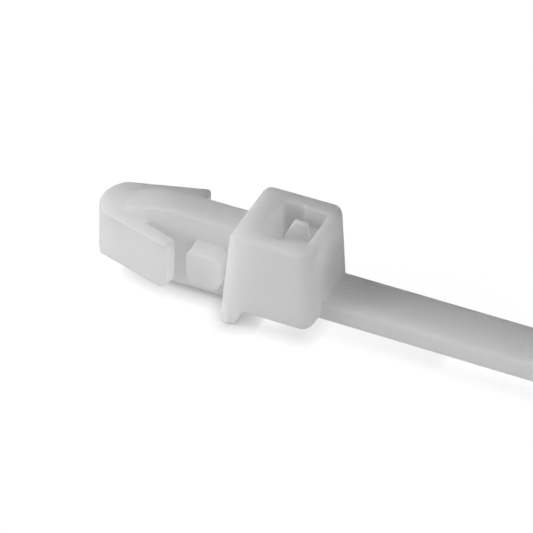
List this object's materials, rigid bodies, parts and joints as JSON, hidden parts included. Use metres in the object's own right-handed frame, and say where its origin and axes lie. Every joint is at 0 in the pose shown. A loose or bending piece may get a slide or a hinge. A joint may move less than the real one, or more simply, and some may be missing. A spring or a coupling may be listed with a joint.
{
  "type": "arrowhead mount cable tie",
  "caption": "One-piece nylon cable tie with a toothed strap, a locking head and a barbed arrowhead that snaps into a round hole in a panel.",
  "frame": {"origin": "on the axis of the arrowhead's stem, in the plane of the panel that the lip presses on", "axes": "+X along the strap away from the head, +Z towards the open top of the head where the strap's end comes out, arrowhead pointing along -X"},
  "size_m": [0.1566, 0.0066, 0.0074],
  "materials": {
    "natural_nylon": "moulded natural nylon, milky and slightly translucent, satin"
  },
  "bodies": {
    "root": {"cable_tie": "natural_nylon"}
  },
  "joints": []
}
